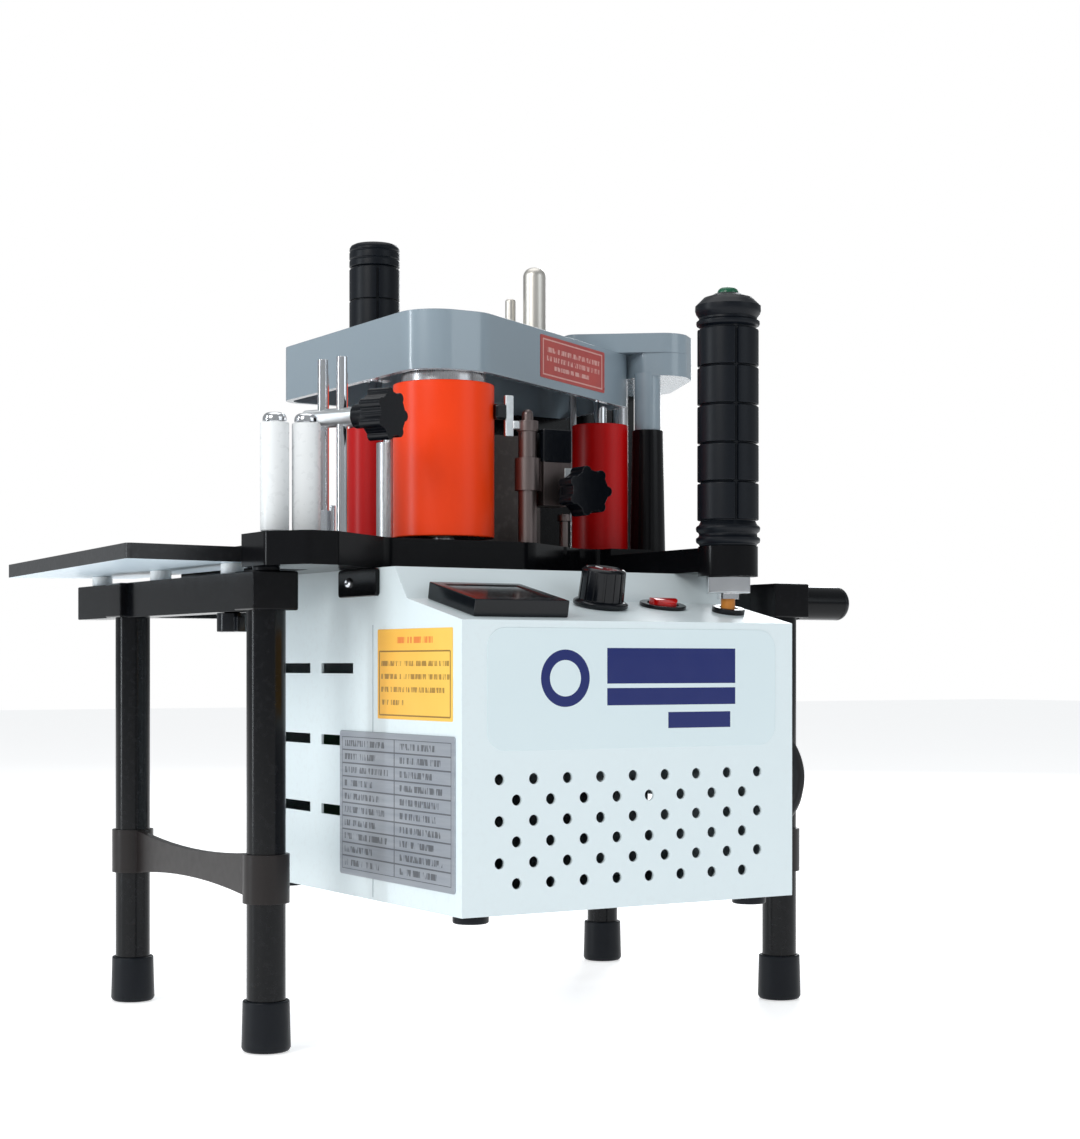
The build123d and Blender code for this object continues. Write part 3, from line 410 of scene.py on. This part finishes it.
def plate_finish():
    """Satin metal plate etched with a two-column table and rows of plain marks, no words."""
    f = Finish("etched_data_plate")
    axes = axes_of(f)
    y, z = axes["Y"], axes["Z"]
    low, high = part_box("spec_plate")
    y0, y1, z0, z1 = low.y + 0.003, high.y - 0.003, low.z + 0.003, high.z - 0.003
    pitch = (z1 - z0) / 10
    wipe = f.noise(1.0, 4.0, 0.6, f.stretched((30, 16, 260)))
    base = f.blend(f.remap(wipe, 0.3, 0.7, 0, 1), (0.42, 0.45, 0.49), (0.33, 0.36, 0.41))
    inside = f.sums("MULTIPLY", between(f, y, y0, y1), between(f, z, z0, z1))
    lines = [band(f, z, z0 + pitch * i, 0.0004) for i in range(11)]
    lines += [band(f, y, level, 0.0005) for level in (y0, (y0 + y1) / 2, y1)]
    text = []
    for i in range(10):
        middle = z0 + pitch * (i + 0.5)
        gap = (0.014, 0.022, 0.004, 0.018, 0.008)[i % 5]
        text.append((middle, 0.0016, (y0 + y1) / 2 + 0.003 + gap, y1 - 0.003))
        text.append((middle, 0.0016, y0 + 0.02 - gap / 2, (y0 + y1) / 2 - 0.006))
    marks = rows_of_marks(f, y, z, text, (1, 420, 70), 0.46)
    print_on = f.sums("MULTIPLY", all_of(f, lines + [marks]), inside)
    f.colour(f.blend(f.sums("MULTIPLY", print_on, 0.72), base, (0.06, 0.065, 0.075)))
    f.rough(f.remap(wipe, 0.3, 0.7, 0.34, 0.48))
    f.bump(print_on, 0.5, -0.06 * MM)
    f.bump(f.noise(1.0, 4.0, 0.6, f.stretched((900, 60, 900))), 0.25, 0.02 * MM)
    f.fixed(Metallic=0.55)
    return f.material


def decal_finish():
    """Clear sheet with a plain ring and three plain bars in blue."""
    f = Finish("blue_print_decal")
    axes = axes_of(f)
    x, z = axes["X"], axes["Z"]
    ring = at(58.5, 0, 190.2)
    away = [f.sums("POWER", f.sums("ABSOLUTE", f.sums("SUBTRACT", axis, centre), 0), 2.0)
            for axis, centre in ((x, ring.x), (z, ring.z))]
    reach = f.sums("SQRT", f.sums("ADD", *away), 0)
    marks = [band(f, reach, 11.6 * MM, 2.6 * MM)]
    bars = ((83.1, 162.5, 187.4, 205.3), (83.1, 162.5, 176.5, 185.2), (120.2, 159.3, 164.6, 172.8))
    for x0, x1, z0, z1 in bars:
        low, high = at(x0, 0, z0), at(x1, 0, z1)
        marks.append(f.sums("MULTIPLY", between(f, x, low.x, high.x), between(f, z, low.z, high.z)))
    base = f.blend(f.remap(f.noise(18.0, 2.0), 0.2, 0.8, 0, 1), (0.70, 0.81, 0.845), (0.685, 0.795, 0.83))
    f.colour(f.blend(all_of(f, marks), base, (0.004, 0.014, 0.13)))
    f.rough(f.remap(f.noise(90.0, 2.0), 0.3, 0.7, 0.2, 0.26))
    f.bump(f.noise(500.0, 2.0), 0.15, 0.01 * MM)
    return f.material


def caution_finish(low, high):
    """Red card with a pale border line and rows of pale marks, no words or signs."""
    f = Finish("red_notice_card")
    axes = axes_of(f)
    x, z = axes["X"], axes["Z"]
    base = f.blend(f.remap(f.noise(40.0, 2.0), 0.3, 0.7, 0, 1), (0.50, 0.075, 0.06), (0.42, 0.06, 0.055))
    x0, x1, z0, z1 = low.x + 0.003, high.x - 0.003, low.z + 0.0022, high.z - 0.0022
    inside = f.sums("MULTIPLY", between(f, x, x0 - 0.0004, x1 + 0.0004),
                    between(f, z, z0 - 0.0004, z1 + 0.0004))
    frame_lines = [band(f, x, x0, 0.0006), band(f, x, x1, 0.0006),
                   band(f, z, z0, 0.0004), band(f, z, z1, 0.0004)]
    mid = (z0 + z1) / 2
    rows = [(mid + 0.0045, 0.0014, x0 + 0.004, x1 - 0.003), (mid - 0.0005, 0.0014, x0 + 0.004, x1 - 0.003),
            (mid - 0.0055, 0.0012, x0 + 0.012, x1 - 0.014)]
    marks = rows_of_marks(f, x, z, rows, (560, 1, 80), 0.47)
    print_on = f.sums("MULTIPLY", all_of(f, frame_lines + [marks]), inside)
    f.colour(f.blend(f.sums("MULTIPLY", print_on, 0.6), base, (0.82, 0.55, 0.5)))
    f.rough(f.remap(f.noise(60.0, 3.0), 0.3, 0.7, 0.25, 0.36))
    f.bump(f.noise(700.0, 2.0), 0.2, 0.02 * MM)
    return f.material


# ---------------------------------------------------------------- modelling steps


def only(piece):
    bpy.ops.object.select_all(action="DESELECT")
    piece.select_set(True)
    bpy.context.view_layer.objects.active = piece


def settle(piece):
    """Puts the piece's place into its mesh, so its object is at the origin, unturned."""
    only(piece)
    bpy.ops.object.transform_apply(location=True, rotation=True, scale=True)


def rounded(piece, width, segments=2, angle=30, smooth=40):
    """Rounds the sharp edges, and shades flats flat and rounds round."""
    only(piece)
    step = piece.modifiers.new("edges", "BEVEL")
    step.width, step.segments, step.limit_method = width * MM, segments, "ANGLE"
    step.angle_limit = math.radians(angle)
    bpy.ops.object.modifier_apply(modifier=step.name)
    bpy.ops.object.shade_smooth_by_angle(angle=math.radians(smooth))
    step = piece.modifiers.new("normals", "WEIGHTED_NORMAL")
    step.keep_sharp = True
    bpy.ops.object.modifier_apply(modifier=step.name)


def choose(piece, kind, test):
    """In edit mode, selects the faces or edges whose middle and normal, or run, pass the test."""
    bpy.ops.object.mode_set(mode="EDIT")
    bpy.ops.mesh.select_mode(type=kind)
    bpy.ops.mesh.select_all(action="DESELECT")
    bpy.ops.object.mode_set(mode="OBJECT")
    mesh = piece.data
    if kind == "FACE":
        for face in mesh.polygons:
            face.select = test(face.center, face.normal)
    else:
        for edge in mesh.edges:
            a, b = (mesh.vertices[i].co for i in edge.vertices)
            edge.select = test((a + b) / 2, (b - a).normalized())
    bpy.ops.object.mode_set(mode="EDIT")


def done(piece):
    bpy.ops.mesh.select_all(action="SELECT")
    bpy.ops.mesh.normals_make_consistent(inside=False)
    bpy.ops.object.mode_set(mode="OBJECT")
    return piece


def body_of(node):
    return frame["nodes"][node]["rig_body"]


def show(piece, look, body, replaces=()):
    piece.data.materials.clear()
    piece.data.materials.append(LOOKS[look] if isinstance(look, str) else look)
    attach(piece, body)
    if replaces:
        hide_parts(*replaces)
    return piece


def finished(node, width, segments=2, angle=30, look=None):
    """A part's own shape with its facets merged and its edges rounded as made."""
    only(frame["nodes"][node])
    bpy.ops.object.duplicate()
    piece = bpy.context.object
    piece.name = node + "_finished"
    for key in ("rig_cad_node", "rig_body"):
        del piece[key]
    piece.parent = None
    bpy.ops.object.mode_set(mode="EDIT")
    bpy.ops.mesh.select_all(action="SELECT")
    bpy.ops.mesh.remove_doubles(threshold=0.00001)
    bpy.ops.mesh.dissolve_limited(angle_limit=math.radians(0.5))
    bpy.ops.object.mode_set(mode="OBJECT")
    rounded(piece, width, segments, angle)
    return show(piece, look or SLOT_OF[node], body_of(node), (node,))


def turned_up(name, spot, steps, sides=64):
    """A turned piece: a disc at a spot, drawn up through (height, radius) steps in millimetres."""
    bpy.ops.object.select_all(action="DESELECT")
    bottom, radius = steps[0]
    start = Vector((spot.x, spot.y, bottom * MM))
    bpy.ops.mesh.primitive_circle_add(vertices=sides, radius=radius * MM, fill_type="NGON", location=start)
    piece = bpy.context.object
    piece.name = name
    settle(piece)
    bpy.ops.object.mode_set(mode="EDIT")
    bpy.ops.mesh.select_all(action="SELECT")
    for (z0, r0), (z1, r1) in zip(steps, steps[1:]):
        bpy.ops.mesh.extrude_region_move(TRANSFORM_OT_translate={"value": (0, 0, (z1 - z0) * MM)})
        if r1 != r0:
            bpy.ops.transform.resize(value=(r1 / r0, r1 / r0, 1), center_override=(spot.x, spot.y, z1 * MM))
    return done(piece)


def card(name, low, high, thin, corner, edge=0.08):
    """A thin plate between two corners, its corners rounded across the thin axis (0, 1 or 2)."""
    bpy.ops.object.select_all(action="DESELECT")
    middle, size = (low + high) / 2, high - low
    bpy.ops.mesh.primitive_cube_add(size=1, location=middle, scale=size)
    piece = bpy.context.object
    piece.name = name
    settle(piece)
    choose(piece, "EDGE", lambda c, d: abs(d[thin]) > 0.9)
    bpy.ops.mesh.bevel(offset=corner * MM, segments=6, affect="EDGES")
    done(piece)
    rounded(piece, edge, 1)
    return piece


# ---------------------------------------------------------------- parts as made, edges rounded

FINISHED = [
    ("base_plate", 1.6, 3), ("top_cover", 1.8, 3), ("top_bridge", 1.8, 3), ("housing_shell", 0.5, 2),
    ("housing_back", 0.5, 1), ("leg_sockets", 1.0, 2), ("side_webs", 0.9, 2), ("stand_rails", 1.0, 2),
    ("support_board", 0.8, 2), ("glue_pot", 0.8, 2), ("side_guide", 0.7, 2), ("height_clamp", 0.7, 2),
    ("bridge_column", 0.5, 2), ("temperature_controller", 0.9, 2), ("controller_window", 0.2, 1),
    ("stem_nuts", 0.6, 2), ("end_plugs", 0.6, 2), ("leg_feet", 1.2, 3), ("board_knob", 0.7, 2),
    ("housing_feet", 1.0, 2), ("guide_roller_left", 0.7, 2), ("guide_roller_right", 0.7, 2),
    ("main_roller_sleeve", 0.7, 2), ("press_roller", 0.7, 2), ("rear_roller", 0.7, 2),
    ("height_knob", 0.9, 3), ("side_knob", 0.9, 3), ("power_rocker", 0.5, 2), ("switch_body", 0.4, 2),
    ("cable_glands", 0.4, 2), ("glue_roller", 0.5, 2), ("side_post", 0.5, 2), ("board_spacers", 0.4, 1),
    ("start_button", 0.9, 3), ("drive_motor", 1.2, 2), ("gearbox", 0.8, 2), ("plate_pads", 0.4, 1),
    ("power_supply", 0.8, 1), ("shaft_bushes", 0.3, 1), ("height_rods", 0.5, 2), ("main_roller_core", 0.5, 1),
]
OWN_LOOK = {"side_post": GUNMETAL, "side_guide": GUNMETAL, "bridge_column": LOOKS["column_black"]}
for node, width, segments in FINISHED:
    finished(node, width, segments, look=OWN_LOOK.get(node))
board = bpy.data.objects["support_board_finished"]
# the downward faces get the pale painted-light colour that stands in for floor light on the underside
board.data.materials.append(BOARD_UNDERSIDE_PAINTED_LIGHT)
for face in board.data.polygons:
    if face.normal.z < -0.9:
        face.material_index = 1

# ---------------------------------------------------------------- grips


def grip_piece(node, flared):
    """A moulded rubber grip: rings at the foot, five rows of raised pads, a flared or a plain end."""
    low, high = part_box(node)
    spot = (low + high) / 2
    z, top = low.z / MM, high.z / MM
    r = (high.x - low.x) / 2 / MM - (1.2 if flared else 0.8)
    floor_r = r - 1.7
    foot = [(z, 6.1), (z, r - 1.2), (z + 1.2, r - 0.9), (z + 2.2, r + 0.5), (z + 3.2, r + 0.8),
            (z + 4.4, r + 0.7),
            (z + 5.4, r - 0.6), (z + 6.2, r - 0.9), (z + 7.2, r - 0.7), (z + 8.2, r + 0.5),
            (z + 9.4, r + 0.8),
            (z + 10.6, r + 0.7), (z + 11.6, r - 0.8)]
    rows_low, rows_high = z + 13.5, top - (18.8 if flared else 16.0)
    pitch = (rows_high - rows_low) / 5
    steps = foot + [(rows_low, floor_r)]
    for i in range(5):
        a = rows_low + pitch * i
        steps += [(a + 0.55, floor_r), (a + pitch - 0.55, floor_r)]
    steps += [(rows_high + 0.6, floor_r)]
    if flared:
        steps += [(top - 17.2, r + 0.2), (top - 16.2, r + 0.6), (top - 15.0, r + 0.5), (top - 14.0, r - 0.8),
                  (top - 13.0, r - 0.9), (top - 11.0, r + 0.6), (top - 9.2, r + 1.2), (top - 6.6, r + 1.1),
                  (top - 4.4, r - 1.2), (top - 2.2, r - 3.4), (top - 0.8, 8.6), (top, 7.4), (top, 6.1),
                  (top - 8.4, 6.1)]
    else:
        steps += [(top - 14.8, r), (top - 11.0, r), (top - 10.6, r - 0.5), (top - 10.0, r - 0.5),
                  (top - 9.6, r),
                  (top - 5.6, r), (top - 5.2, r - 0.5), (top - 4.6, r - 0.5), (top - 4.2, r),
                  (top - 2.6, r - 0.2),
                  (top - 1.0, r - 1.2), (top - 0.1, r - 3.0), (top, r - 4.0)]
    piece = turned_up(node + "_moulded", spot, steps, 64)
    groove = math.radians(-111.3)

    def on_pad(c, n):
        height = (c.z / MM - rows_low) / pitch
        inside = 0 < height < 5 and abs(height - round(height)) > 0.06 and abs(n.z) < 0.1
        turn = (math.atan2(c.y - spot.y, c.x - spot.x) - groove + math.pi / 4) % (math.pi / 2) - math.pi / 4
        return inside and abs(turn) > math.radians(2.9)

    choose(piece, "FACE", on_pad)
    bpy.ops.mesh.extrude_region_move(TRANSFORM_OT_translate={"value": (0, 0, 0)})
    grow = r / floor_r
    bpy.ops.transform.resize(value=(grow, grow, 1), center_override=(spot.x, spot.y, 0))
    done(piece)
    rounded(piece, 0.55, 2, 50)
    return show(piece, "rubber_black", body_of(node), (node,))


grip_piece("front_grip", True)
grip_piece("rear_grip", False)

# ---------------------------------------------------------------- cards and prints on the housing

ROOM = 0.25


def face_card(name, y0, y1, z0, z1, corner, look):
    """A card on the housing's left face."""
    piece = card(name, at(-ROOM, y0, z0), at(0.02, y1, z1), 0, corner)
    return show(piece, look, "machine")


face_card("notice_card", 8.7, 88.6, 169.2, 215.0, 0.8, notice_finish())
data = card("data_plate", *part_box("spec_plate"), 0, 1.5, 0.12)
show(data, plate_finish(), "machine", ("spec_plate",))
seam = Finish("seam_shadow")
seam.colour(seam.blend(seam.remap(seam.noise(60.0), 0.3, 0.7, 0, 1), (0.40, 0.46, 0.5), (0.5, 0.56, 0.6)))
seam.rough(seam.remap(seam.noise(200.0), 0.3, 0.7, 0.5, 0.6))
face_card("side_seam", 94.0, 94.7, 76.5, 217.5, 0.3, seam.material)


def tipped(piece, place, turn):
    """Turns a piece that was made round the origin, moves it to its place and settles it."""
    piece.location, piece.rotation_euler = place, turn
    settle(piece)
    return piece


front_decal = card("front_decal", at(13.9, -ROOM, 155.0), at(188.6, 0.02, 215.0), 1, 10.0)
show(front_decal, decal_finish(), "machine")

# the cover's slanted face runs from one corner of its outline to the next
SLANT_A, SLANT_B = (76.0, 109.5), (231.0, 203.0)
SLANT = math.atan2(SLANT_B[1] - SLANT_A[1], SLANT_B[0] - SLANT_A[0])
CAUTION_X, CAUTION_Z = (130.5, 202.0), (361.0, 385.5)
mid_x = sum(CAUTION_X) / 2
mid_y = SLANT_A[1] + (mid_x - SLANT_A[0]) * math.tan(SLANT)
half = Vector(((CAUTION_X[1] - CAUTION_X[0]) / 2 / math.cos(SLANT), 0.14,
               (CAUTION_Z[1] - CAUTION_Z[0]) / 2)) * MM
caution = card("caution_card", -half, half, 1, 1.0)
tipped(caution, at(mid_x + 0.12 * math.sin(SLANT), mid_y - 0.12 * math.cos(SLANT), sum(CAUTION_Z) / 2),
       (0, 0, SLANT))
show(caution, caution_finish(at(CAUTION_X[0], 0, CAUTION_Z[0]), at(CAUTION_X[1], 0, CAUTION_Z[1])),
     "machine")

# ---------------------------------------------------------------- speed knob

PANEL_RISE, PANEL_DEPTH = 11.7, 56.5
KNOB_Y, KNOB_Z = 41.0, 227.2
KNOB_LIFT = 0.4
PANEL_TILT = math.atan2(PANEL_RISE, PANEL_DEPTH)


def speed_knob():
    """A fluted knob on a round skirt, with a pale pointer line on its cap."""
    low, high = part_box("speed_knob")
    radius = (high.x - low.x) / 2 / MM
    body = radius - 2.4
    piece = turned_up("speed_knob_fluted", Vector((0, 0, 0)), [
        (0, radius - 0.6), (0.6, radius), (2.2, radius), (3.0, radius - 1.2), (3.4, body), (18.6, body - 0.5),
        (19.6, body - 1.4), (20.2, body - 2.6), (19.6, body - 3.4), (19.6, 1.0)], 60)
    choose(piece, "FACE", lambda c, n: 3.4 < c.z / MM < 18.6 and abs(n.z) < 0.3
           and round(math.degrees(math.atan2(c.y, c.x)) / 6 - 0.5) % 4 == 0)
    bpy.ops.mesh.extrude_region_move(TRANSFORM_OT_translate={"value": (0, 0, 0)})
    bpy.ops.transform.resize(value=(0.955, 0.955, 1), center_override=(0, 0, 0))
    done(piece)
    rounded(piece, 0.18, 2, 35)
    foot = Vector(((low.x + high.x) / 2, at(0, KNOB_Y, 0).y, (KNOB_Z + KNOB_LIFT) * MM))
    tipped(piece, foot, (PANEL_TILT, 0, 0))
    show(piece, "plastic_black", body_of("speed_knob"), ("speed_knob",))
    pointer = card("speed_knob_pointer", Vector((-0.55, 2.0, 19.55)) * MM,
                   Vector((0.55, 8.2, 19.85)) * MM, 2, 0.4)
    tipped(pointer, foot, (PANEL_TILT, 0, 0))
    show(pointer, "nylon_white", body_of("speed_knob"))


speed_knob()

# ---------------------------------------------------------------- small fittings


def screw(name, place, turn, radius, look="chrome"):
    """A domed screw head with a socket in its top."""
    piece = turned_up(name, Vector((0, 0, 0)), [
        (0, radius * 0.94), (radius * 0.08, radius), (radius * 0.35, radius * 0.97),
        (radius * 0.6, radius * 0.82),
        (radius * 0.74, radius * 0.58), (radius * 0.77, radius * 0.42), (radius * 0.4, radius * 0.38)], 24)
    rounded(piece, 0.05, 1, 60, 50)
    tipped(piece, place, turn)
    return show(piece, look, "machine")


def fitting(name, low, high, thin, corner, look, body, edge=0.4):
    return show(card(name, at(*low), at(*high), thin, corner, edge), look, body)


QUARTER = math.pi / 2
fitting("plate_bracket", (-2.4, 86.4, 232.3), (-0.02, 130.9, 246.8), 0, 2.0,
        "plate_black", "machine")
screw("bracket_screw", at(-2.3, 117.7, 240.0), (0, -QUARTER, 0), 2.6)
fitting("guide_cap", (114.7, 112.7, 309.0), (133.3, 131.3, 327.8), 1, 1.0, "plastic_black", "side_guide",
        0.6)
fitting("guide_strip", (128.6, 112.62, 285.6), (133.2, 113.2, 306.5), 1, 0.6,
        "aluminium", "side_guide", 0.1)
fitting("valve_plate", (93.6, 118.0, 322.7), (98.8, 120.4, 345.5), 1, 0.8,
        "aluminium", "machine")
fitting("valve_arm", (98.2, 117.6, 327.0), (103.2, 120.6, 331.6), 1, 0.6, "aluminium", "machine")
fitting("valve_grip", (86.9, 116.6, 331.8), (93.8, 122.0, 340.4), 1, 1.6, "plastic_black", "machine",
        1.0)

CAD_LOOK = {"switch_lead": AMBER, "tape_posts": PALE_SATIN}
for node, shape in frame["nodes"].items():
    shape.data.materials.clear()
    shape.data.materials.append(CAD_LOOK.get(node) or LOOKS[SLOT_OF[node]])
